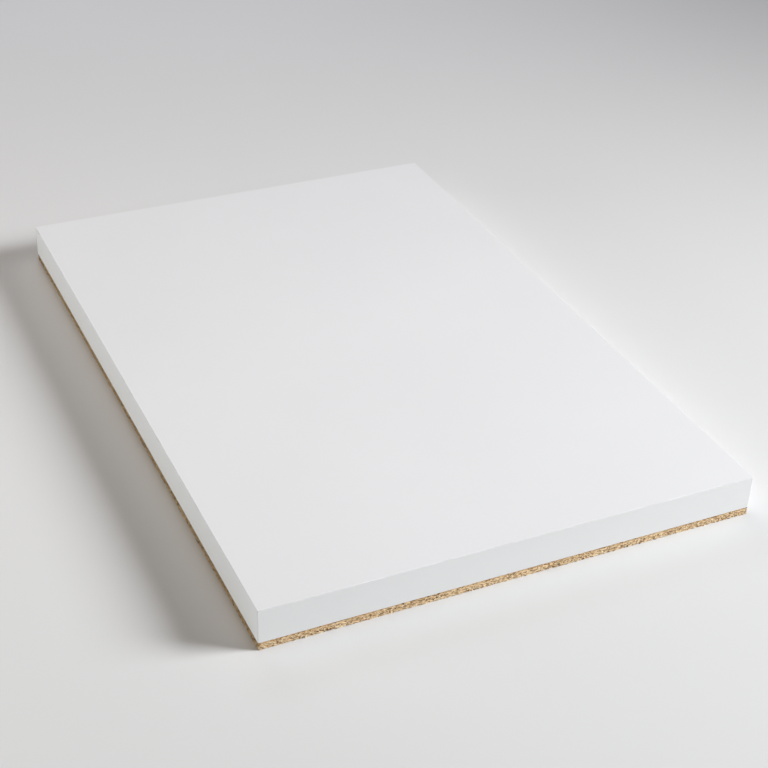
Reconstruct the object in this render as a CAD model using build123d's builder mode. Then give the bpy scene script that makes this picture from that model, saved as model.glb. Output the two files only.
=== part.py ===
from build123d import *
import os

# A white-faced fibreboard panel: a thick white slab bonded flush on a thin bare chipboard base.
# Millimetres, +Z up, +Y along the panel's length, origin at the middle of the underside.

# Driving dimensions
panel_length = 600.0
panel_width = 400.0
slab_thickness = 28.5
base_thickness = 6.3
slab_arris_radius = 0.35
slab_corner_radius = 0.4
joint_chamfer = 0.4
base_corner_radius = 0.5

# Chipboard base: one sawn board, its four upright corners just broken
with BuildPart() as chipboard_base:
    with BuildSketch(Plane.XY):
        Rectangle(panel_width, panel_length)
    extrude(amount=base_thickness)
    fillet(chipboard_base.edges().filter_by(Axis.Z), radius=base_corner_radius)
chipboard_base.part.label = "chipboard_base"

# White slab: seated on the base, with softened upright corners, a fine arris round its top
# and a fine chamfer along its lower edges that draws the joint as a thin shadow line
with BuildPart() as white_slab:
    with BuildSketch(Plane.XY.offset(base_thickness)):
        Rectangle(panel_width, panel_length)
    extrude(amount=slab_thickness)
    corner_edges = white_slab.edges().filter_by(Axis.Z)
    fillet(corner_edges, radius=slab_corner_radius)
    top_edges = white_slab.faces().sort_by(Axis.Z)[-1].edges()
    fillet(top_edges, radius=slab_arris_radius)
    joint_edges = white_slab.faces().sort_by(Axis.Z)[0].edges()
    chamfer(joint_edges, length=joint_chamfer)
white_slab.part.label = "white_slab"

# One file for each board
os.makedirs("parts", exist_ok=True)
export_step(chipboard_base.part, "parts/chipboard_base.step")
export_step(white_slab.part, "parts/white_slab.step")
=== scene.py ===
import math

import bmesh
import bpy
from bpy.props import FloatProperty, FloatVectorProperty, IntProperty, PointerProperty
from mathutils import Matrix, Vector


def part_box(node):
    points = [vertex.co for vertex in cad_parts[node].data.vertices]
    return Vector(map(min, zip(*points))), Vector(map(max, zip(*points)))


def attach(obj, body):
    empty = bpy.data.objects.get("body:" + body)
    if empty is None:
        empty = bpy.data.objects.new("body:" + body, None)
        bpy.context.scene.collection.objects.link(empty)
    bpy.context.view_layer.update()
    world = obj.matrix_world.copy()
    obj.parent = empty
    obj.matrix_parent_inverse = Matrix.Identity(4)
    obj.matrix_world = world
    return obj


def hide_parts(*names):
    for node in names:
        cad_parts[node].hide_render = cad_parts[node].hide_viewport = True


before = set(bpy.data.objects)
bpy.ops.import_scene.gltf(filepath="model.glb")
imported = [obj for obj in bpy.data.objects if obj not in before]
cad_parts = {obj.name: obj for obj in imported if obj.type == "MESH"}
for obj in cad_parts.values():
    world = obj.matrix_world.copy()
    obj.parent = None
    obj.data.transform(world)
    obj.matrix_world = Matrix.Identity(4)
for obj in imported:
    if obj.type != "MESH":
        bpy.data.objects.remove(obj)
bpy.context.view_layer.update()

bl_info = {
    "name": "White-faced Fibreboard Panel",
    "version": (1, 0, 0),
    "blender": (4, 5, 0),
    "location": "3D View > Sidebar > Panel",
    "description": "Dresses a white-faced board on a chipboard base and sets its studio",
    "category": "Object",
}

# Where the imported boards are, in metres
BASE_LOW, BASE_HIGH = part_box("chipboard_base")
SLAB_LOW, SLAB_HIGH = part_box("white_slab")
BASE_THICKNESS = BASE_HIGH.z - BASE_LOW.z
MM = 0.001

# The photograph's camera: focal length and frame in pixels, place in metres, turn in degrees
FRAME_PIXELS = 768
FOCAL_PIXELS = 1597.8
SENSOR_WIDTH = 36.0
CLIP_START = 0.01
CLIP_END = 100.0
CAMERA_PLACE = Vector((-0.4763, -1.0681, 0.7419))
CAMERA_YAW = 25.38
CAMERA_PITCH = 32.785
CAMERA_ROLL = 1.82

# The floor: sides of its round, how far under the board it lies, and its finish
FLOOR_SIDES = 192
FLOOR_DROP = 0.05 * MM
FLOOR_DRIFT_SCALE = 1.5
FLOOR_DRIFT_SHARE = 0.985
FLOOR_ROUGHNESS = 0.9
FLOOR_SPECULAR = 0.03

# The lamps: name, place, target, size, beam spread in degrees, the setting of its power, colour
LAMPS = (
    ("Key lamp", (2.10, -1.275, 1.305), (-0.45, -0.05, 0.0), (1.12, 1.06), 70.0,
     "key_power", (0.958, 0.980, 1.0)),
    ("Left lamp", (-1.25, 0.05, 0.205), (-0.2, 0.0, 0.0), (1.1, 0.3), 180.0,
     "left_power", (0.975, 1.0, 0.995)),
    ("Back lamp", (0.38, 2.3, 1.7), (0.38, 1.4, 0.0), (1.6, 1.0), 90.0,
     "back_power", (0.82, 0.86, 1.0)),
    ("Overhead lamp", (-0.4, 0.6, 1.85), (0.0, 0.0, 0.0), (1.6, 1.6), 180.0,
     "over_power", (1.0, 0.775, 0.510)),
)
SKY_COLOUR = (0.985, 0.99, 1.0, 1.0)
WHITE = (1.0, 1.0, 1.0, 1.0)

# Soft mottle: the noise's detail and roughness, and the stretch of it that is used
MOTTLE_DETAIL = 4.0
MOTTLE_ROUGHNESS = 0.55
NOISE_LOW = 0.3
NOISE_HIGH = 0.7

# White face: scales of its patches, spread of its sheen, the depth of the painted shade on its top arris,
# and its fine relief
DRIFT_SCALE = 5.0
ARRIS_SHADE_PATCH_SCALE = 55.0
SHEEN_SCALE = 38.0
SHEEN_SPREAD = 0.03
ARRIS_SHEEN = 0.08
ARRIS_SHADE_DEPTH_SHARE = 2.0
PEEL_STRENGTH = 0.12
PEEL_RELIEF = 0.02 * MM
FACE_SPECULAR = 0.08

# Layers of the chipboard, in shares of its thickness from the underside up
WAVER_SCALE = 260.0
WAVER_DETAIL = 2.0
WAVER_REACH = 0.10
UPPER_LAYER = (0.50, 0.72)
LOWER_LAYER = (0.06, 0.16)
# Joint line: a thin darker band at the top of the base, painted shade under the slab's edge
JOINT_SHADE_LINE = (0.84, 0.93)
STREAK_LOW = (0.32, 0.42)
STREAK_HIGH = (0.48, 0.58)
BREAK_SCALE = 320.0
BREAK_DETAIL = 2.0
BREAK_STRETCH = (0.40, 0.56)
LOWER_TINT_SHARE = 0.5
# Band along the two long sawn sides that is darkened: partly their own darker grain, partly painted shade
LONG_SIDE_START = 2.4 * MM
LONG_SIDE_END = 1.2 * MM

# Flakes lying in the board: seams, the patches in which they turn, and their shares of a chip's length
SEAM_REACH = (0.01, 0.09)
SEAM_DEPTH = 0.55
TURN_SCALE = 120.0
TURN_DETAIL = 3.0
TURN_STEP = (0.48, 0.52)
FLAKE_LENGTH_SHARE = 1.2
FLAKE_WIDTH_SHARE = 0.42
FLAKE_STRENGTH = 0.3
FLAKE_RELIEF = 0.1 * MM
CLOUD_SCALE = 45.0
CLOUD_REACH = 0.12

# Wood: places of the colour stops, fibre, dullness and grain
WOOD_PLACES = (0.00, 0.07, 0.15, 0.45, 1.00)
FIBRE_SCALE = 900.0
FIBRE_REACH = 0.10
DULL_SCALE = 300.0
CHIP_DULL = (0.72, 0.92)
BOARD_DULL = (0.76, 0.94)
GRAIN_SCALE = 2600.0
GRAIN_STRENGTH = 0.35
GRAIN_RELIEF = 0.08 * MM
WOOD_SPECULAR = 0.25

# Sawn core: its fineness, the inset of its flat faces, and the noise stretches of its pits and tears
CORE_COLUMN = 1.1 * MM
CORE_ROWS = 9
CORE_INSET = 0.04
CORE_NOISE_DETAIL = 2.0
PIT_STRETCH = (0.42, 0.72)
PIT_HEIGHT_SHARE = 1.6
TEAR_STRETCH = (0.54, 0.62)
TORN_OFF_FROM = 0.35

# Chips: lean about their three axes in radians, spread of their sizes, and the finer layer above
CHIP_LEAN = (0.10, 0.05, 0.20)
LENGTH_POWER = 2.0
LENGTH_SPREAD = 1.7
LENGTH_LEAST = 0.3
THICKNESS_LEAST = 0.5
THICKNESS_MOST = 1.5
FINE_LAYER = (0.55, 0.75)
FINE_THICKNESS = 0.7
FINE_LENGTH = 1.3
LOWEST_LAYER = (0.18, 0.30)
CHIP_END_GAP = 0.7 * MM
CHIP_FACE_GAP = 0.15 * MM
CHIP_TONES = (0.17, 1.0)
SPECK_TONES = (0.0, 0.13)
SPECK_SEED_STEP = 100

# Outlines of the chip blanks, in shares of a chip's length and thickness
CHIP_OUTLINES = (
    ((-0.50, -0.10), (-0.26, -0.50), (0.42, -0.44), (0.50, 0.20), (-0.20, 0.50)),
    ((-0.50, -0.32), (0.10, -0.50), (0.50, -0.16), (0.34, 0.50), (-0.44, 0.40)),
    ((-0.50, 0.22), (-0.38, -0.42), (0.16, -0.50), (0.50, -0.08), (0.18, 0.50)),
    ((-0.50, 0.04), (-0.10, -0.50), (0.50, -0.34), (0.44, 0.36), (-0.28, 0.50)),
)
CHIP_BACK_SHARE = 0.8

# Each chip has a cell of this map: its front in the middle, its sides around that, its back in a corner
CHIP_MAP = "OFBake"
CELL_FRONT_SHARE = 0.62
CELL_SIDE_SHARE = 0.92
CELL_BACK_SHARE = 0.04
CELL_MIDDLE = 0.5


class WhiteFaceSettings(bpy.types.PropertyGroup):
    """Colours and finish of the white slab."""

    colour: FloatVectorProperty(
        name="White", description="Colour of the smooth white faces",
        subtype="COLOR", min=0.0, max=1.0, default=(0.848, 0.853, 0.874),
    )
    shade: FloatVectorProperty(
        name="Faint Shade", description="Slightly deeper white that drifts over the faces",
        subtype="COLOR", min=0.0, max=1.0, default=(0.831, 0.836, 0.857),
    )
    edge_tint: FloatVectorProperty(
        name="Edge Tint", description="Tint of the slab's edges, a little warmer than its face",
        subtype="COLOR", min=0.0, max=1.0, default=(0.906, 0.897, 0.872),
    )
    roughness: FloatProperty(
        name="Roughness", description="Middle roughness of the dull satin finish",
        subtype="FACTOR", min=0.0, max=1.0, default=0.7,
    )
    peel_size: FloatProperty(
        name="Peel Size", description="Size of the finish's fine unevenness",
        unit="LENGTH", min=0.0001, default=1.6 * MM,
    )
    arris_width: FloatProperty(
        name="Arris Width", description="Width of the thinner, smoother finish along the edges",
        unit="LENGTH", min=0.0001, default=0.7 * MM,
    )
    # Arris Shade is painted shade: a darker colour laid in broken patches on the top arris, damping the
    # highlight its rounded edge catches
    arris_shade: FloatVectorProperty(
        name="Arris Shade", description="Duller places where the finish has worn off the edges",
        subtype="COLOR", min=0.0, max=1.0, default=(0.700, 0.700, 0.705),
    )


class ChipboardSettings(bpy.types.PropertyGroup):
    """Sizes and colours of the bare chipboard base."""

    chip_length: FloatProperty(
        name="Chip Length", description="Usual length of a wood chip along the sawn edge",
        unit="LENGTH", min=0.0002, default=1.5 * MM,
    )
    chip_thickness: FloatProperty(
        name="Chip Thickness", description="Usual thickness of a wood chip",
        unit="LENGTH", min=0.0001, default=0.58 * MM,
    )
    chip_depth: FloatProperty(
        name="Chip Depth", description="How far a wood chip reaches into the board",
        unit="LENGTH", min=0.0001, default=0.9 * MM,
    )
    recess: FloatProperty(
        name="Recess", description="Deepest that a chip lies behind the sawn plane",
        unit="LENGTH", min=0.0, default=0.32 * MM,
    )
    pit_depth: FloatProperty(
        name="Pit Depth", description="Depth of the pits between the chips",
        unit="LENGTH", min=0.0, default=0.55 * MM,
    )
    chips_per_area: FloatProperty(
        name="Chips per Square Metre", description="How many chips show on the sawn edges",
        min=0.0, default=960000.0,
    )
    specks_per_area: FloatProperty(
        name="Specks per Square Metre", description="How many dark specks show on the sawn edges",
        min=0.0, default=260000.0,
    )
    upper_specks: FloatProperty(
        name="Upper Specks", description="Share of the specks kept above the lowest layer",
        subtype="FACTOR", min=0.0, max=1.0, default=0.38,
    )
    speck_length: FloatProperty(
        name="Speck Length", description="Usual length of a dark speck",
        unit="LENGTH", min=0.0001, default=0.95 * MM,
    )
    speck_thickness: FloatProperty(
        name="Speck Thickness", description="Usual thickness of a dark speck",
        unit="LENGTH", min=0.0001, default=0.46 * MM,
    )
    tear_length: FloatProperty(
        name="Tear Length", description="Usual length of a torn place along the lower edge",
        unit="LENGTH", min=0.0002, default=2.4 * MM,
    )
    tear_height: FloatProperty(
        name="Tear Height", description="How high a torn place reaches above the underside",
        unit="LENGTH", min=0.0, default=1.3 * MM,
    )
    tear_depth: FloatProperty(
        name="Tear Depth", description="How deep a torn place reaches behind the sawn plane",
        unit="LENGTH", min=0.0, default=1.6 * MM,
    )
    seed: IntProperty(
        name="Seed", description="Starts the scatter of the chips", min=0, default=7,
    )
    straw: FloatVectorProperty(
        name="Straw", description="Palest wood chips",
        subtype="COLOR", min=0.0, max=1.0, default=(1.000, 0.868, 0.622),
    )
    tan: FloatVectorProperty(
        name="Tan", description="Usual wood chips",
        subtype="COLOR", min=0.0, max=1.0, default=(0.860, 0.648, 0.395),
    )
    brown: FloatVectorProperty(
        name="Brown", description="Deeper wood chips and the board between chips",
        subtype="COLOR", min=0.0, max=1.0, default=(0.450, 0.275, 0.135),
    )
    bark: FloatVectorProperty(
        name="Bark", description="Darkest chips, with bark on them",
        subtype="COLOR", min=0.0, max=1.0, default=(0.085, 0.048, 0.028),
    )
    skin: FloatVectorProperty(
        name="Skin Tint", description="Tint of the fine, dense layers next to the faces",
        subtype="COLOR", min=0.0, max=1.0, default=(0.950, 0.910, 0.860),
    )
    streak: FloatVectorProperty(
        name="Streak Tint", description="Tint of the broken dark streak between the layers",
        subtype="COLOR", min=0.0, max=1.0, default=(0.680, 0.590, 0.490),
    )
    # Joint Tint is painted shade: a thin darker line at the top of the base, under the slab's edge
    joint: FloatVectorProperty(
        name="Joint Tint", description="Deep tint of the thin line under the white slab",
        subtype="COLOR", min=0.0, max=1.0, default=(0.720, 0.640, 0.540),
    )
    # Partly painted shade: the long sides are darkened for the shade beside the floor as well as for their
    # own darker grain
    long_side_tint_and_shade: FloatVectorProperty(
        name="Long Side Tint", description="Deeper tint of the two long sawn sides",
        subtype="COLOR", min=0.0, max=1.0, default=(0.662, 0.622, 0.560),
    )


class StageSettings(bpy.types.PropertyGroup):
    """The floor and the studio light."""

    floor: FloatVectorProperty(
        name="Floor", description="Colour of the plain pale floor",
        subtype="COLOR", min=0.0, max=1.0, default=(0.786, 0.790, 0.796),
    )
    floor_radius: FloatProperty(
        name="Floor Radius", description="Radius of the round floor", unit="LENGTH", min=0.5, default=1.48,
    )
    key_power: FloatProperty(
        name="Key Power", description="Power of the soft key light on the right",
        unit="POWER", min=0.0, default=18.95,
    )
    left_power: FloatProperty(
        name="Left Power", description="Power of the low fill light on the left",
        unit="POWER", min=0.0, default=6.3,
    )
    back_power: FloatProperty(
        name="Back Power", description="Power of the soft light behind the board",
        unit="POWER", min=0.0, default=6.9,
    )
    over_power: FloatProperty(
        name="Overhead Power", description="Power of the broad light overhead",
        unit="POWER", min=0.0, default=6.7,
    )
    sky: FloatProperty(
        name="Sky", description="Strength of the even light all round", min=0.0, default=0.05,
    )
    backdrop: FloatVectorProperty(
        name="Backdrop", description="Pale colour behind the floor's far edge",
        subtype="COLOR", min=0.0, max=1.0, default=(0.62, 0.62, 0.62),
    )


def add(tree, kind, sockets=None, **options):
    """Adds a node, sets its options, and fills its inputs with values or links."""
    made = tree.nodes.new(kind)
    for option, value in options.items():
        setattr(made, option, value)
    for key, value in (sockets or {}).items():
        if isinstance(value, bpy.types.NodeSocket):
            tree.links.new(value, made.inputs[key])
        else:
            made.inputs[key].default_value = value
    return made


def maths(tree, operation, *values):
    """One Math node's output."""
    return add(tree, "ShaderNodeMath", dict(enumerate(values)), operation=operation).outputs[0]


def vectors(tree, operation, *values):
    """One Vector Math node's vector output."""
    return add(tree, "ShaderNodeVectorMath", dict(enumerate(values)), operation=operation).outputs[0]


def smooth_range(tree, value, start, end, low=0.0, high=1.0):
    """A value eased from low to high while it goes from start to end."""
    sockets = {"Value": value, "From Min": start, "From Max": end, "To Min": low, "To Max": high}
    return add(tree, "ShaderNodeMapRange", sockets, interpolation_type="SMOOTHSTEP").outputs[0]


def blended(tree, share, first, second, how="MIX"):
    """Two colours mixed by a share."""
    made = add(tree, "ShaderNodeMix", data_type="RGBA", blend_type=how)
    inputs = {"Factor_Float": share, "A_Color": first, "B_Color": second}
    for socket in made.inputs:
        if socket.identifier in inputs:
            value = inputs[socket.identifier]
            if isinstance(value, bpy.types.NodeSocket):
                tree.links.new(value, socket)
            else:
                socket.default_value = value
    return next(socket for socket in made.outputs if socket.identifier == "Result_Color")


def ramp(tree, share, stops):
    """A colour ramp's colour, from (place, colour) stops."""
    made = add(tree, "ShaderNodeValToRGB", {"Fac": share})
    elements = made.color_ramp.elements
    while len(elements) < len(stops):
        elements.new(1.0)
    for element, (place, colour) in zip(elements, stops):
        element.position = place
        element.color = colour
    return made.outputs["Color"]


def opaque(colour):
    """A property's colour with full alpha, for a colour socket."""
    return (*colour, 1.0)


def socketed_group(name, kind, inputs, outputs):
    """An empty node group with named sockets, and its two end nodes."""
    tree = bpy.data.node_groups.new(name, kind)
    for label, socket_type, default in inputs:
        made = tree.interface.new_socket(label, in_out="INPUT", socket_type=socket_type)
        if default is not None:
            made.default_value = default
    for label, socket_type in outputs:
        tree.interface.new_socket(label, in_out="OUTPUT", socket_type=socket_type)
    return tree, add(tree, "NodeGroupInput").outputs, add(tree, "NodeGroupOutput").inputs


def mottle_group():
    """Soft uneven patches, from Low to High."""
    name = "Soft mottle"
    if name in bpy.data.node_groups:
        return bpy.data.node_groups[name]
    tree, given, result = socketed_group(
        name, "ShaderNodeTree",
        [("Vector", "NodeSocketVector", None), ("Scale", "NodeSocketFloat", 10.0),
         ("Low", "NodeSocketFloat", 0.0), ("High", "NodeSocketFloat", 1.0)],
        [("Value", "NodeSocketFloat")],
    )
    noise = add(tree, "ShaderNodeTexNoise", {
        "Vector": given["Vector"], "Scale": given["Scale"],
        "Detail": MOTTLE_DETAIL, "Roughness": MOTTLE_ROUGHNESS,
    })
    value = smooth_range(tree, noise.outputs[0], NOISE_LOW, NOISE_HIGH, given["Low"], given["High"])
    tree.links.new(value, result["Value"])
    return tree


def arris_group():
    """A mask along the edges of a box of given centre and half size."""
    name = "Arris"
    if name in bpy.data.node_groups:
        return bpy.data.node_groups[name]
    tree, given, result = socketed_group(
        name, "ShaderNodeTree",
        [("Vector", "NodeSocketVector", None), ("Centre", "NodeSocketVector", None),
         ("Half Size", "NodeSocketVector", None), ("Width", "NodeSocketFloat", 0.001)],
        [("Mask", "NodeSocketFloat")],
    )
    away = vectors(tree, "ABSOLUTE", vectors(tree, "SUBTRACT", given["Vector"], given["Centre"]))
    inset = add(tree, "ShaderNodeSeparateXYZ", {0: vectors(tree, "SUBTRACT", given["Half Size"], away)})
    x, y, z = inset.outputs
    nearer = maths(tree, "MINIMUM", x, y)
    further = maths(tree, "MAXIMUM", x, y)
    second = maths(tree, "MAXIMUM", nearer, maths(tree, "MINIMUM", further, z))
    tree.links.new(smooth_range(tree, second, 0.0, given["Width"], 1.0, 0.0), result["Mask"])
    return tree


def layers_group():
    """Masks of the chipboard's upper and lower layers, the streak between them and the joint line of
    painted shade above.
    """
    name = "Board layers"
    if name in bpy.data.node_groups:
        return bpy.data.node_groups[name]
    tree, given, result = socketed_group(
        name, "ShaderNodeTree",
        [("Vector", "NodeSocketVector", None), ("Low", "NodeSocketFloat", 0.0),
         ("Thickness", "NodeSocketFloat", 0.006)],
        [("Upper", "NodeSocketFloat"), ("Lower", "NodeSocketFloat"), ("Joint", "NodeSocketFloat"),
         ("Streak", "NodeSocketFloat")],
    )
    height = add(tree, "ShaderNodeSeparateXYZ", {0: given["Vector"]}).outputs[2]
    share = maths(tree, "DIVIDE", maths(tree, "SUBTRACT", height, given["Low"]), given["Thickness"])
    tree.links.new(smooth_range(tree, share, *JOINT_SHADE_LINE), result["Joint"])
    noise = add(tree, "ShaderNodeTexNoise", {
        "Vector": given["Vector"], "Scale": WAVER_SCALE, "Detail": WAVER_DETAIL,
    })
    waver = smooth_range(tree, noise.outputs[0], NOISE_LOW, NOISE_HIGH, -WAVER_REACH, WAVER_REACH)
    share = maths(tree, "ADD", share, waver)
    tree.links.new(smooth_range(tree, share, *UPPER_LAYER), result["Upper"])
    tree.links.new(smooth_range(tree, share, *LOWER_LAYER, 1.0, 0.0), result["Lower"])
    breaks = add(tree, "ShaderNodeTexNoise", {
        "Vector": given["Vector"], "Scale": BREAK_SCALE, "Detail": BREAK_DETAIL,
    })
    above = smooth_range(tree, share, *STREAK_LOW)
    below = smooth_range(tree, share, *STREAK_HIGH, 1.0, 0.0)
    streak = maths(tree, "MULTIPLY", above, below)
    streak = maths(tree, "MULTIPLY", streak, smooth_range(tree, breaks.outputs[0], *BREAK_STRETCH))
    tree.links.new(streak, result["Streak"])
    return tree


def flakes_group():
    """Flat chips lying in the board: a tone for each chip, and the dark seams between them."""
    name = "Lying flakes"
    if name in bpy.data.node_groups:
        return bpy.data.node_groups[name]
    tree, given, result = socketed_group(
        name, "ShaderNodeTree",
        [("Vector", "NodeSocketVector", None), ("Length", "NodeSocketFloat", 0.003),
         ("Width", "NodeSocketFloat", 0.0012), ("Thickness", "NodeSocketFloat", 0.0006)],
        [("Tone", "NodeSocketFloat"), ("Seam", "NodeSocketFloat")],
    )

    def lying(x_size, y_size):
        sizes = add(tree, "ShaderNodeCombineXYZ", {0: x_size, 1: y_size, 2: given["Thickness"]}).outputs[0]
        place = vectors(tree, "DIVIDE", given["Vector"], sizes)
        sockets = {"Vector": place, "Scale": 1.0}
        cells = add(tree, "ShaderNodeTexVoronoi", sockets)
        seams = add(tree, "ShaderNodeTexVoronoi", sockets, feature="DISTANCE_TO_EDGE")
        tone = add(tree, "ShaderNodeSeparateColor", {0: cells.outputs["Color"]}).outputs[0]
        return tone, smooth_range(tree, seams.outputs["Distance"], *SEAM_REACH, 1.0, 0.0)

    along_x = lying(given["Length"], given["Width"])
    along_y = lying(given["Width"], given["Length"])
    turns = add(tree, "ShaderNodeTexNoise", {
        "Vector": given["Vector"], "Scale": TURN_SCALE, "Detail": TURN_DETAIL,
    })
    share = smooth_range(tree, turns.outputs[0], *TURN_STEP)
    for label, first, second in zip(("Tone", "Seam"), along_x, along_y):
        mixed = add(tree, "ShaderNodeMix", {0: share, 2: first, 3: second})
        tree.links.new(mixed.outputs[0], result[label])
    return tree


def group_node(tree, group, sockets, kind="ShaderNodeGroup"):
    """Places a node group and fills its inputs."""
    made = tree.nodes.new(kind)
    made.node_tree = group
    for key, value in sockets.items():
        if isinstance(value, bpy.types.NodeSocket):
            tree.links.new(value, made.inputs[key])
        else:
            made.inputs[key].default_value = value
    return made.outputs


def mottle(tree, place, scale, low=0.0, high=1.0):
    """Soft uneven patches at a place, from low to high."""
    sockets = {"Vector": place, "Scale": scale, "Low": low, "High": high}
    return group_node(tree, mottle_group(), sockets)["Value"]


def new_material(name):
    """A material with one Principled shader; its tree, that shader and the Object coordinates."""
    material = bpy.data.materials.new(name)
    material.use_nodes = True
    tree = material.node_tree
    tree.nodes.clear()
    shader = add(tree, "ShaderNodeBsdfPrincipled")
    output = add(tree, "ShaderNodeOutputMaterial")
    tree.links.new(shader.outputs[0], output.inputs["Surface"])
    place = add(tree, "ShaderNodeTexCoord").outputs["Object"]
    return material, tree, shader, place


def give_bump(tree, shader, height, strength, distance):
    """Lets a height shape the shader's normal."""
    bump = add(tree, "ShaderNodeBump", {"Height": height, "Strength": strength, "Distance": distance})
    tree.links.new(bump.outputs[0], shader.inputs["Normal"])


def white_face_material(settings):
    """Smooth dull satin white with a faint drift of tone, fine peel, thinner finish on the arris and
    painted shade on the top arris.
    """
    material, tree, shader, place = new_material("White satin face")
    drift = mottle(tree, place, DRIFT_SCALE)
    tone = blended(tree, drift, opaque(settings.colour), opaque(settings.shade))
    depth = maths(tree, "SUBTRACT", SLAB_HIGH.z, add(tree, "ShaderNodeSeparateXYZ", {0: place}).outputs[2])
    on_edge = smooth_range(tree, depth, 0.0, settings.arris_width)
    tint = blended(tree, on_edge, WHITE, opaque(settings.edge_tint))
    tone = blended(tree, 1.0, tone, tint, "MULTIPLY")
    arris = group_node(tree, arris_group(), {
        "Vector": place, "Centre": (SLAB_LOW + SLAB_HIGH) / 2, "Half Size": (SLAB_HIGH - SLAB_LOW) / 2,
        "Width": settings.arris_width,
    })["Mask"]
    # Painted shade: the top arris is darkened in broken patches, damping the highlight it catches from the
    # lamps
    arris_shade_patches = mottle(tree, place, ARRIS_SHADE_PATCH_SCALE)
    arris_shade_depth = settings.arris_width * ARRIS_SHADE_DEPTH_SHARE
    near_top = smooth_range(tree, depth, settings.arris_width, arris_shade_depth, 1.0, 0.0)
    painted_arris_shade = maths(tree, "MULTIPLY", maths(tree, "MULTIPLY", arris, arris_shade_patches), near_top)
    tree.links.new(blended(tree, painted_arris_shade, tone, opaque(settings.arris_shade)), shader.inputs["Base Color"])
    dullest, shiniest = settings.roughness + SHEEN_SPREAD, settings.roughness - SHEEN_SPREAD
    sheen = mottle(tree, place, SHEEN_SCALE, shiniest, dullest)
    sheen = maths(tree, "SUBTRACT", sheen, maths(tree, "MULTIPLY", arris, ARRIS_SHEEN))
    tree.links.new(sheen, shader.inputs["Roughness"])
    peel = mottle(tree, place, 1.0 / settings.peel_size)
    give_bump(tree, shader, peel, PEEL_STRENGTH, PEEL_RELIEF)
    shader.inputs["Specular IOR Level"].default_value = FACE_SPECULAR
    return material


def wood_stops(settings):
    """Colour stops from bark to straw."""
    colours = (settings.bark, settings.bark, settings.brown, settings.tan, settings.straw)
    return [(place, opaque(colour)) for place, colour in zip(WOOD_PLACES, colours)]


def layered(tree, place, colour, settings):
    """Tints the layers of the board, the streak, the joint line of painted shade, and the long sides, which
    are partly darker grain and partly painted shade.
    """
    layers = group_node(tree, layers_group(), {
        "Vector": place, "Low": BASE_LOW.z, "Thickness": BASE_THICKNESS,
    })
    lower = [1.0 - LOWER_TINT_SHARE + LOWER_TINT_SHARE * part for part in settings.skin]
    tinted = blended(tree, layers["Upper"], WHITE, opaque(settings.skin))
    tinted = blended(tree, layers["Lower"], tinted, opaque(lower))
    tinted = blended(tree, layers["Streak"], tinted, opaque(settings.streak))
    # Painted shade: a thin darker line at the top of the base, under the slab
    tinted = blended(tree, layers["Joint"], tinted, opaque(settings.joint))
    # Long sides darkened: partly their own darker grain, partly painted shade
    across = maths(tree, "ABSOLUTE", add(tree, "ShaderNodeSeparateXYZ", {0: place}).outputs[0])
    long_side_tint_and_shade = smooth_range(tree, across, BASE_HIGH.x - LONG_SIDE_START, BASE_HIGH.x - LONG_SIDE_END)
    deeper = blended(tree, long_side_tint_and_shade, WHITE, opaque(settings.long_side_tint_and_shade))
    tinted = blended(tree, 1.0, tinted, deeper, "MULTIPLY")
    return blended(tree, 1.0, colour, tinted, "MULTIPLY")


def chip_material(settings):
    """A wood chip: its own tone, with fine fibre over it."""
    material, tree, shader, place = new_material("Sawn wood chip")
    tone = add(tree, "ShaderNodeAttribute", attribute_name="chip_tone").outputs["Fac"]
    fibre = mottle(tree, place, FIBRE_SCALE, -FIBRE_REACH, FIBRE_REACH)
    colour = ramp(tree, maths(tree, "ADD", tone, fibre), wood_stops(settings))
    tree.links.new(layered(tree, place, colour, settings), shader.inputs["Base Color"])
    dull = mottle(tree, place, DULL_SCALE, *CHIP_DULL)
    tree.links.new(dull, shader.inputs["Roughness"])
    give_bump(tree, shader, mottle(tree, place, GRAIN_SCALE), GRAIN_STRENGTH, GRAIN_RELIEF)
    shader.inputs["Specular IOR Level"].default_value = WOOD_SPECULAR
    return material


def chipboard_material(settings):
    """The board itself: flat flakes with dark seams, seen on its underside and between the edge chips."""
    material, tree, shader, place = new_material("Bare chipboard")
    flakes = group_node(tree, flakes_group(), {
        "Vector": place, "Length": settings.chip_length * FLAKE_LENGTH_SHARE,
        "Width": settings.chip_length * FLAKE_WIDTH_SHARE, "Thickness": settings.chip_thickness,
    })
    cloud = mottle(tree, place, CLOUD_SCALE, -CLOUD_REACH, CLOUD_REACH)
    colour = ramp(tree, maths(tree, "ADD", flakes["Tone"], cloud), wood_stops(settings))
    colour = layered(tree, place, colour, settings)
    seam = maths(tree, "MULTIPLY", flakes["Seam"], SEAM_DEPTH)
    colour = blended(tree, seam, colour, opaque(settings.brown))
    tree.links.new(colour, shader.inputs["Base Color"])
    dull = mottle(tree, place, DULL_SCALE, *BOARD_DULL)
    tree.links.new(dull, shader.inputs["Roughness"])
    height = maths(tree, "SUBTRACT", flakes["Tone"], flakes["Seam"])
    give_bump(tree, shader, height, FLAKE_STRENGTH, FLAKE_RELIEF)
    shader.inputs["Specular IOR Level"].default_value = WOOD_SPECULAR
    return material


def object_from(mesh, name):
    """A new object at the origin, in the scene."""
    made = bpy.data.objects.new(name, mesh)
    bpy.context.scene.collection.objects.link(made)
    return made


def set_inputs(modifier, tree, values):
    """Sets a Geometry Nodes modifier's inputs by their identifiers."""
    for item in tree.interface.items_tree:
        if item.item_type == "SOCKET" and item.in_out == "INPUT" and item.name in values:
            modifier[item.identifier] = values[item.name]


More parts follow.
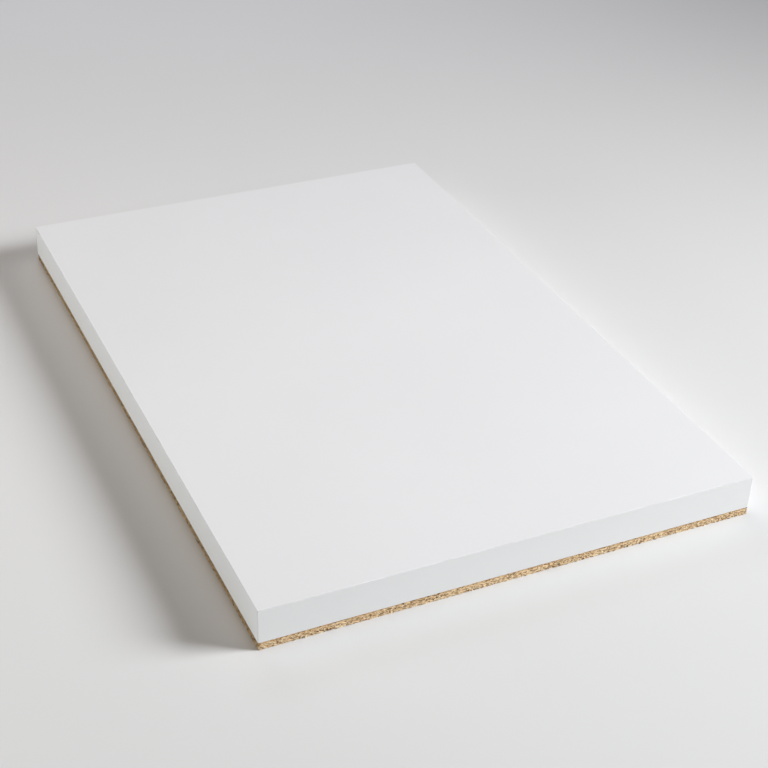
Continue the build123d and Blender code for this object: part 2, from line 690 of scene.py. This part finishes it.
def baked_piece(source, name):
    """A plain mesh object from an object with its nodes run; the source is removed."""
    bpy.context.view_layer.update()
    run = source.evaluated_get(bpy.context.evaluated_depsgraph_get())
    mesh = bpy.data.meshes.new_from_object(run)
    mesh.name = name
    old = source.data
    bpy.data.objects.remove(source)
    bpy.data.meshes.remove(old)
    return object_from(mesh, name)


def named(tree, name, kind):
    """A named attribute's value."""
    return add(tree, "GeometryNodeInputNamedAttribute", {"Name": name}, data_type=kind).outputs[0]


def stored(tree, source, name, value, kind, domain):
    """A node that stores a value on its source's geometry under a name."""
    sockets = {"Geometry": source.outputs[0], "Name": name, "Value": value}
    return add(tree, "GeometryNodeStoreNamedAttribute", sockets, data_type=kind, domain=domain)


def scaled(tree, vector, share):
    """A vector times a value."""
    return add(tree, "ShaderNodeVectorMath", {0: vector, "Scale": share}, operation="SCALE").outputs[0]


def core_blank(column_step, rows):
    """The board as a closed box, its sawn sides in columns and rows whose points know their way out."""
    low, high = BASE_LOW, BASE_HIGH
    corners = [(low.x, low.y), (high.x, low.y), (high.x, high.y), (low.x, high.y)]
    outs = [(0, -1), (1, 0), (0, 1), (-1, 0)]
    rim = []
    starts = []
    for side, (x, y) in enumerate(corners):
        end_x, end_y = corners[(side + 1) % 4]
        count = max(1, round(math.hypot(end_x - x, end_y - y) / column_step))
        starts.append(len(rim))
        for step in range(count):
            share = step / count
            out = Vector((*outs[side], 0.0))
            if step == 0:
                out = out + Vector((*outs[side - 1], 0.0))
            rim.append((Vector((x + (end_x - x) * share, y + (end_y - y) * share, 0.0)), out))
    shape = bmesh.new()
    outward = shape.verts.layers.float_vector.new("outward")
    levels = []
    for row in range(rows + 1):
        level = []
        for place, out in rim:
            vert = shape.verts.new((place.x, place.y, low.z + (high.z - low.z) * row / rows))
            vert[outward] = out
            level.append(vert)
        levels.append(level)
    around = len(rim)
    for lower, upper in zip(levels, levels[1:]):
        for here in range(around):
            following = (here + 1) % around
            shape.faces.new((lower[here], lower[following], upper[following], upper[here]))
    for level, facing_up in ((levels[0], False), (levels[-1], True)):
        z = level[0].co.z
        inner = [shape.verts.new((x * (1 - CORE_INSET), y * (1 - CORE_INSET), z)) for x, y in corners]
        middle = inner if facing_up else inner[::-1]
        shape.faces.new(middle)
        for side in range(4):
            first = starts[side]
            last = starts[side + 1] if side < 3 else around
            run = [level[number % around] for number in range(first, last + 1)]
            edge = run + [inner[(side + 1) % 4], inner[side]]
            shape.faces.new(edge if facing_up else edge[::-1])
    mesh = bpy.data.meshes.new("core blank")
    shape.to_mesh(mesh)
    shape.free()
    return object_from(mesh, "core blank")


def torn_edge_group():
    """A mask of the places where the saw tore the lower edge."""
    name = "Torn edge"
    if name in bpy.data.node_groups:
        return bpy.data.node_groups[name]
    tree, given, result = socketed_group(
        name, "GeometryNodeTree",
        [("Length", "NodeSocketFloat", 0.0024), ("Height", "NodeSocketFloat", 0.0013)],
        [("Torn", "NodeSocketFloat")],
    )
    place = add(tree, "GeometryNodeInputPosition").outputs[0]
    height = add(tree, "ShaderNodeSeparateXYZ", {0: place}).outputs[2]
    noise = add(tree, "ShaderNodeTexNoise", {
        "Vector": place, "Scale": maths(tree, "DIVIDE", 1.0, given["Length"]), "Detail": CORE_NOISE_DETAIL,
    })
    patch = smooth_range(tree, noise.outputs[0], *TEAR_STRETCH)
    near = smooth_range(tree, maths(tree, "SUBTRACT", height, BASE_LOW.z), 0.0, given["Height"], 1.0, 0.0)
    tree.links.new(maths(tree, "MULTIPLY", patch, near), result["Torn"])
    return tree


def sawn_core_tree(material):
    """Sinks the sawn sides into chip-sized pits and a torn lower edge behind the plane of the cut."""
    tree, given, result = socketed_group(
        "Sawn core", "GeometryNodeTree",
        [("Board", "NodeSocketGeometry", None), ("Recess", "NodeSocketFloat", 0.0003),
         ("Pit Depth", "NodeSocketFloat", 0.0005), ("Pit Length", "NodeSocketFloat", 0.003),
         ("Pit Height", "NodeSocketFloat", 0.0008), ("Tear Length", "NodeSocketFloat", 0.0024),
         ("Tear Height", "NodeSocketFloat", 0.0013), ("Tear Depth", "NodeSocketFloat", 0.0016)],
        [("Board", "NodeSocketGeometry")],
    )
    place = add(tree, "GeometryNodeInputPosition").outputs[0]
    sizes = add(tree, "ShaderNodeCombineXYZ", {
        0: given["Pit Length"], 1: given["Pit Length"], 2: given["Pit Height"],
    }).outputs[0]
    noise = add(tree, "ShaderNodeTexNoise", {
        "Vector": vectors(tree, "DIVIDE", place, sizes), "Scale": 1.0, "Detail": CORE_NOISE_DETAIL,
    })
    pit = maths(tree, "MULTIPLY", smooth_range(tree, noise.outputs[0], *PIT_STRETCH), given["Pit Depth"])
    torn = group_node(tree, torn_edge_group(), {
        "Length": given["Tear Length"], "Height": given["Tear Height"],
    }, "GeometryNodeGroup")["Torn"]
    tear = maths(tree, "MULTIPLY", torn, given["Tear Depth"])
    depth = maths(tree, "ADD", maths(tree, "ADD", pit, tear), given["Recess"])
    inward = scaled(tree, named(tree, "outward", "FLOAT_VECTOR"), maths(tree, "MULTIPLY", depth, -1.0))
    sunk = add(tree, "GeometryNodeSetPosition", {"Geometry": given["Board"], "Offset": inward})
    whole = add(tree, "GeometryNodeRealizeInstances", {"Geometry": sunk.outputs[0]})
    painted = add(tree, "GeometryNodeSetMaterial", {"Geometry": whole.outputs[0], "Material": material})
    tree.links.new(painted.outputs[0], result["Board"])
    return tree


def chip_blank(number, outline):
    """One chip: a thin five-sided sliver, its front at zero depth and its back a little smaller."""
    shape = bmesh.new()
    front = [shape.verts.new((x, y, 0.0)) for x, y in outline]
    back = [shape.verts.new((x * CHIP_BACK_SHARE, y * CHIP_BACK_SHARE, -1.0)) for x, y in outline]
    shape.faces.new(front)
    shape.faces.new(back[::-1])
    for here in range(len(outline)):
        following = (here + 1) % len(outline)
        shape.faces.new((front[here], back[here], back[following], front[following]))
    spots = shape.loops.layers.uv.new("chip_spot")
    places = dict(zip(front, outline)) | dict(zip(back, outline))
    for face in shape.faces:
        hidden = all(vert in back for vert in face.verts)
        for loop in face.loops:
            share = CELL_FRONT_SHARE if loop.vert in front else CELL_SIDE_SHARE
            middle = CELL_MIDDLE
            if hidden:
                share = CELL_BACK_SHARE
                middle = CELL_BACK_SHARE
            loop[spots].uv = Vector(places[loop.vert]) * share + Vector((middle, middle))
    mesh = bpy.data.meshes.new(f"chip blank {number}")
    shape.to_mesh(mesh)
    shape.free()
    return object_from(mesh, f"chip blank {number}")


def sawn_faces(end_gap, face_gap):
    """The four sawn planes of the base, as one mesh of four outward faces, short of the corners."""
    low, high = BASE_LOW, BASE_HIGH
    bottom, top = low.z + face_gap, high.z - face_gap
    runs = (
        ((low.x + end_gap, low.y), (high.x - end_gap, low.y)),
        ((high.x, low.y + end_gap), (high.x, high.y - end_gap)),
        ((high.x - end_gap, high.y), (low.x + end_gap, high.y)),
        ((low.x, high.y - end_gap), (low.x, low.y + end_gap)),
    )
    verts = []
    faces = []
    for start, end in runs:
        first = len(verts)
        verts += [(*start, bottom), (*end, bottom), (*end, top), (*start, top)]
        faces.append(range(first, first + 4))
    mesh = bpy.data.meshes.new("sawn faces")
    mesh.from_pydata(verts, [], [list(face) for face in faces])
    return object_from(mesh, "sawn faces")


def chip_scatter_tree(blanks, material):
    """Lays chips over the sawn faces, long side along the edge, cut off flush at the board's box."""
    tree, given, result = socketed_group(
        "Edge chips", "GeometryNodeTree",
        [("Sawn Faces", "NodeSocketGeometry", None), ("Chips per Area", "NodeSocketFloat", 500000.0),
         ("Chip Length", "NodeSocketFloat", 0.003), ("Chip Thickness", "NodeSocketFloat", 0.0006),
         ("Chip Depth", "NodeSocketFloat", 0.001), ("Recess", "NodeSocketFloat", 0.0003),
         ("Tone Low", "NodeSocketFloat", 0.0), ("Tone High", "NodeSocketFloat", 1.0),
         ("Box Low", "NodeSocketVector", None), ("Box High", "NodeSocketVector", None),
         ("Tear Length", "NodeSocketFloat", 0.0024), ("Tear Height", "NodeSocketFloat", 0.0013),
         ("Upper Share", "NodeSocketFloat", 1.0), ("Seed", "NodeSocketInt", 0)],
        [("Chips", "NodeSocketGeometry")],
    )

    def chance(low, high, turn):
        seed = maths(tree, "ADD", given["Seed"], float(turn))
        sockets = {2: low, 3: high, "Seed": seed}
        return add(tree, "FunctionNodeRandomValue", sockets, data_type="FLOAT").outputs[1]

    spread = add(tree, "GeometryNodeDistributePointsOnFaces", {
        "Mesh": given["Sawn Faces"], "Density": given["Chips per Area"], "Seed": given["Seed"],
    })
    out = spread.outputs["Normal"]
    along = vectors(tree, "CROSS_PRODUCT", (0.0, 0.0, 1.0), out)
    facing = add(
        tree, "FunctionNodeAxesToRotation", {"Primary Axis": out, "Secondary Axis": along},
        primary_axis="Z", secondary_axis="X",
    )
    leans = {axis: chance(-most, most, axis + 1) for axis, most in enumerate(CHIP_LEAN)}
    lean = add(tree, "ShaderNodeCombineXYZ", leans)
    leaning = add(tree, "FunctionNodeEulerToRotation", {0: lean.outputs[0]})
    turned = add(tree, "FunctionNodeRotateRotation", {
        "Rotation": facing.outputs[0], "Rotate By": leaning.outputs[0],
    }, rotation_space="LOCAL")
    start = add(tree, "GeometryNodeInputPosition").outputs[0]
    height = add(tree, "ShaderNodeSeparateXYZ", {0: start}).outputs[2]
    fine_start, fine_end = (BASE_LOW.z + BASE_THICKNESS * share for share in FINE_LAYER)
    thinner = smooth_range(tree, height, fine_start, fine_end, 1.0, FINE_THICKNESS)
    streaked = smooth_range(tree, height, fine_start, fine_end, 1.0, FINE_LENGTH)
    longer = maths(tree, "MULTIPLY", maths(tree, "POWER", chance(0.0, 1.0, 4), LENGTH_POWER), LENGTH_SPREAD)
    longer = maths(tree, "ADD", longer, LENGTH_LEAST)
    length = maths(tree, "MULTIPLY", maths(tree, "MULTIPLY", given["Chip Length"], longer), streaked)
    thicker = chance(THICKNESS_LEAST, THICKNESS_MOST, 5)
    thickness = maths(tree, "MULTIPLY", maths(tree, "MULTIPLY", given["Chip Thickness"], thicker), thinner)
    size = add(tree, "ShaderNodeCombineXYZ", {0: length, 1: thickness, 2: given["Chip Depth"]})
    inward = maths(tree, "MULTIPLY", chance(-1.0, 0.0, 6), chance(0.0, 1.0, 7))
    offset = scaled(tree, out, maths(tree, "MULTIPLY", given["Recess"], inward))
    torn = group_node(tree, torn_edge_group(), {
        "Length": given["Tear Length"], "Height": given["Tear Height"],
    }, "GeometryNodeGroup")["Torn"]
    low_end, high_start = (BASE_LOW.z + BASE_THICKNESS * share for share in LOWEST_LAYER)
    kept = smooth_range(tree, height, low_end, high_start, 1.0, given["Upper Share"])
    spared = maths(tree, "GREATER_THAN", chance(0.0, 1.0, 9), kept)
    torn_off = maths(tree, "GREATER_THAN", torn, TORN_OFF_FROM)
    left = add(tree, "GeometryNodeDeleteGeometry", {
        "Geometry": spread.outputs["Points"], "Selection": maths(tree, "MAXIMUM", spared, torn_off),
    }, domain="POINT")
    placed = add(tree, "GeometryNodeSetPosition", {"Geometry": left.outputs[0], "Offset": offset})
    tone = chance(given["Tone Low"], given["Tone High"], 8)
    toned = stored(tree, placed, "chip_tone", tone, "FLOAT", "POINT")
    number = add(tree, "GeometryNodeInputIndex").outputs[0]
    numbered = stored(tree, toned, "chip_number", number, "INT", "POINT")
    kinds = add(tree, "GeometryNodeJoinGeometry")
    for blank in blanks:
        known = add(tree, "GeometryNodeObjectInfo", {"Object": blank, "As Instance": True})
        tree.links.new(known.outputs["Geometry"], kinds.inputs[0])
    pick = add(tree, "FunctionNodeRandomValue", {4: 0, 5: len(blanks) - 1}, data_type="INT").outputs[2]
    chips = add(tree, "GeometryNodeInstanceOnPoints", {
        "Points": numbered.outputs[0], "Instance": kinds.outputs[0], "Pick Instance": True,
        "Instance Index": pick, "Rotation": turned.outputs[0], "Scale": size.outputs[0],
    })
    whole = add(tree, "GeometryNodeRealizeInstances", {"Geometry": chips.outputs[0]})
    place = add(tree, "GeometryNodeInputPosition").outputs[0]
    inside = vectors(tree, "MAXIMUM", vectors(tree, "MINIMUM", place, given["Box High"]), given["Box Low"])
    sawn = add(tree, "GeometryNodeSetPosition", {"Geometry": whole.outputs[0], "Position": inside})
    points = add(tree, "GeometryNodeAttributeDomainSize", {0: numbered.outputs[0]}, component="POINTCLOUD")
    columns = maths(tree, "CEIL", maths(tree, "SQRT", points.outputs[0]))
    known_number = named(tree, "chip_number", "INT")
    spot = named(tree, "chip_spot", "FLOAT_VECTOR")
    cell = add(tree, "ShaderNodeCombineXYZ", {
        0: maths(tree, "MODULO", known_number, columns),
        1: maths(tree, "FLOOR", maths(tree, "DIVIDE", known_number, columns)),
    }).outputs[0]
    share = maths(tree, "DIVIDE", 1.0, columns)
    mapped = scaled(tree, vectors(tree, "ADD", cell, spot), share)
    chips = stored(tree, sawn, CHIP_MAP, mapped, "FLOAT2", "CORNER")
    for spare in ("chip_spot", "chip_number"):
        chips = add(tree, "GeometryNodeRemoveAttribute", {"Geometry": chips.outputs[0], "Name": spare})
    painted = add(tree, "GeometryNodeSetMaterial", {"Geometry": chips.outputs[0], "Material": material})
    tree.links.new(painted.outputs[0], result["Chips"])
    return tree


class PANEL_OT_finish_white_slab(bpy.types.Operator):
    """Gives the white slab its satin face."""

    bl_idname = "panel.finish_white_slab"
    bl_label = "Finish White Slab"

    def execute(self, context):
        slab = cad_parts["white_slab"]
        material = white_face_material(context.scene.panel_white_face)
        slab.data.materials.clear()
        slab.data.materials.append(material)
        return {"FINISHED"}


class PANEL_OT_build_chipboard_core(bpy.types.Operator):
    """Builds the chipboard base as a board with pitted sawn sides."""

    bl_idname = "panel.build_chipboard_core"
    bl_label = "Build Chipboard Core"

    def execute(self, context):
        settings = context.scene.panel_chipboard
        blank = core_blank(CORE_COLUMN, CORE_ROWS)
        tree = sawn_core_tree(chipboard_material(settings))
        modifier = blank.modifiers.new("Sawn core", "NODES")
        modifier.node_group = tree
        set_inputs(modifier, tree, {
            "Recess": settings.recess, "Pit Depth": settings.pit_depth, "Pit Length": settings.chip_length,
            "Pit Height": settings.chip_thickness * PIT_HEIGHT_SHARE,
            "Tear Length": settings.tear_length, "Tear Height": settings.tear_height,
            "Tear Depth": settings.tear_depth,
        })
        core = baked_piece(blank, "chipboard_core")
        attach(core, "root")
        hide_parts("chipboard_base")
        return {"FINISHED"}


class PANEL_OT_lay_edge_chips(bpy.types.Operator):
    """Lays the wood chips that show on the four sawn edges of the base."""

    bl_idname = "panel.lay_edge_chips"
    bl_label = "Lay Edge Chips"

    def execute(self, context):
        settings = context.scene.panel_chipboard
        blanks = [chip_blank(number, outline) for number, outline in enumerate(CHIP_OUTLINES)]
        tree = chip_scatter_tree(blanks, chip_material(settings))
        shared = {
            "Chip Depth": settings.chip_depth, "Recess": settings.recess,
            "Box Low": BASE_LOW, "Box High": BASE_HIGH,
            "Tear Length": settings.tear_length, "Tear Height": settings.tear_height,
        }
        wood = {
            "Chips per Area": settings.chips_per_area, "Chip Length": settings.chip_length,
            "Chip Thickness": settings.chip_thickness,
            "Tone Low": CHIP_TONES[0], "Tone High": CHIP_TONES[1],
            "Seed": settings.seed, "Upper Share": 1.0,
        }
        bark = {
            "Chips per Area": settings.specks_per_area, "Chip Length": settings.speck_length,
            "Chip Thickness": settings.speck_thickness,
            "Tone Low": SPECK_TONES[0], "Tone High": SPECK_TONES[1],
            "Seed": settings.seed + SPECK_SEED_STEP, "Recess": 0.0, "Upper Share": settings.upper_specks,
        }
        for name, sizes in (("chipboard_edge_chips", wood), ("chipboard_bark_specks", bark)):
            faces = sawn_faces(CHIP_END_GAP, CHIP_FACE_GAP)
            modifier = faces.modifiers.new(name, "NODES")
            modifier.node_group = tree
            set_inputs(modifier, tree, shared | sizes)
            chips = baked_piece(faces, name)
            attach(chips, "root")
        for blank in blanks:
            mesh = blank.data
            bpy.data.objects.remove(blank)
            bpy.data.meshes.remove(mesh)
        return {"FINISHED"}


def floor_material(settings):
    """Plain pale floor with a barely uneven tone."""
    material, tree, shader, place = new_material("Pale studio floor")
    drift = mottle(tree, place, FLOOR_DRIFT_SCALE)
    deeper = opaque([part * FLOOR_DRIFT_SHARE for part in settings.floor])
    tree.links.new(blended(tree, drift, opaque(settings.floor), deeper), shader.inputs["Base Color"])
    shader.inputs["Roughness"].default_value = FLOOR_ROUGHNESS
    shader.inputs["Specular IOR Level"].default_value = FLOOR_SPECULAR
    return material


def soft_lamp(name, place, target, size, spread, power, colour):
    """A large area lamp at a place, facing a target, its beam spread over an angle in degrees."""
    data = bpy.data.lights.new(name, "AREA")
    data.shape = "RECTANGLE"
    data.size, data.size_y = size
    data.spread = math.radians(spread)
    data.energy = power
    data.color = colour
    lamp = object_from(data, name)
    lamp.location = place
    lamp.rotation_mode = "QUATERNION"
    lamp.rotation_quaternion = (Vector(target) - Vector(place)).to_track_quat("-Z", "Y")
    return lamp


def studio_world(settings):
    """Even pale light all round; the camera sees the backdrop's colour."""
    world = bpy.data.worlds.new("Studio")
    world.use_nodes = True
    tree = world.node_tree
    tree.nodes.clear()
    light = add(tree, "ShaderNodeBackground", {"Color": SKY_COLOUR, "Strength": settings.sky})
    backdrop = add(tree, "ShaderNodeBackground", {"Color": opaque(settings.backdrop), "Strength": 1.0})
    path = add(tree, "ShaderNodeLightPath")
    seen = maths(tree, "MAXIMUM", path.outputs["Is Camera Ray"], path.outputs["Is Glossy Ray"])
    seen = maths(tree, "MAXIMUM", seen, path.outputs["Is Transmission Ray"])
    either = add(tree, "ShaderNodeMixShader", {0: seen, 1: light.outputs[0], 2: backdrop.outputs[0]})
    output = add(tree, "ShaderNodeOutputWorld")
    tree.links.new(either.outputs[0], output.inputs["Surface"])
    bpy.context.scene.world = world


def photo_camera():
    """The camera at the photograph's place and turn."""
    yaw, pitch, roll = (math.radians(angle) for angle in (CAMERA_YAW, CAMERA_PITCH, CAMERA_ROLL))
    forward = Vector((math.sin(yaw) * math.cos(pitch), math.cos(yaw) * math.cos(pitch), -math.sin(pitch)))
    level = Vector((math.cos(yaw), -math.sin(yaw), 0.0))
    upright = level.cross(forward)
    right = level * math.cos(roll) + upright * math.sin(roll)
    up = upright * math.cos(roll) - level * math.sin(roll)
    data = bpy.data.cameras.new("Photo camera")
    data.sensor_width = SENSOR_WIDTH
    data.lens = FOCAL_PIXELS / FRAME_PIXELS * SENSOR_WIDTH
    data.clip_start = CLIP_START
    data.clip_end = CLIP_END
    camera = object_from(data, "Photo camera")
    turn = Matrix((right, up, -forward)).transposed()
    camera.matrix_world = Matrix.Translation(CAMERA_PLACE) @ turn.to_4x4()
    bpy.context.scene.camera = camera


class PANEL_OT_build_stage(bpy.types.Operator):
    """Lays the pale floor and sets the studio light and the camera."""

    bl_idname = "panel.build_stage"
    bl_label = "Build Stage"

    def execute(self, context):
        settings = context.scene.panel_stage
        mesh = bpy.data.meshes.new("studio_floor")
        turns = [math.tau * step / FLOOR_SIDES for step in range(FLOOR_SIDES)]
        rim = [Vector((math.cos(turn), math.sin(turn), 0.0)) * settings.floor_radius for turn in turns]
        mesh.from_pydata([(x, y, -FLOOR_DROP) for x, y, z in rim], [], [range(FLOOR_SIDES)])
        mesh.materials.append(floor_material(settings))
        floor = object_from(mesh, "studio_floor")
        studio_world(settings)
        for name, place, target, size, spread, power, colour in LAMPS:
            soft_lamp(name, place, target, size, spread, getattr(settings, power), colour)
        photo_camera()
        context.scene.view_settings.view_transform = "Standard"
        return {"FINISHED"}


OPERATORS = (
    PANEL_OT_finish_white_slab,
    PANEL_OT_build_chipboard_core,
    PANEL_OT_lay_edge_chips,
    PANEL_OT_build_stage,
)


class PANEL_PT_sidebar(bpy.types.Panel):
    """Lists the panel's settings and the steps that build it."""

    bl_idname = "PANEL_PT_sidebar"
    bl_label = "White-faced Panel"
    bl_space_type = "VIEW_3D"
    bl_region_type = "UI"
    bl_category = "Panel"

    def draw(self, context):
        scene = context.scene
        for settings in (scene.panel_white_face, scene.panel_chipboard, scene.panel_stage):
            box = self.layout.box()
            for name in settings.__annotations__:
                box.prop(settings, name)
        for operator in OPERATORS:
            self.layout.operator(operator.bl_idname)


SETTINGS = {
    "panel_white_face": WhiteFaceSettings,
    "panel_chipboard": ChipboardSettings,
    "panel_stage": StageSettings,
}
CLASSES = (*SETTINGS.values(), *OPERATORS, PANEL_PT_sidebar)


def register():
    """Registers the classes and hangs the settings on the scene."""
    for cls in CLASSES:
        bpy.utils.register_class(cls)
    for name, group in SETTINGS.items():
        setattr(bpy.types.Scene, name, PointerProperty(type=group))


def unregister():
    """Takes the settings and the classes away again."""
    for name in SETTINGS:
        delattr(bpy.types.Scene, name)
    for cls in reversed(CLASSES):
        bpy.utils.unregister_class(cls)


def main():
    register()
    bpy.ops.panel.finish_white_slab()
    bpy.ops.panel.build_chipboard_core()
    bpy.ops.panel.lay_edge_chips()
    bpy.ops.panel.build_stage()


if __name__ == "__main__":
    main()
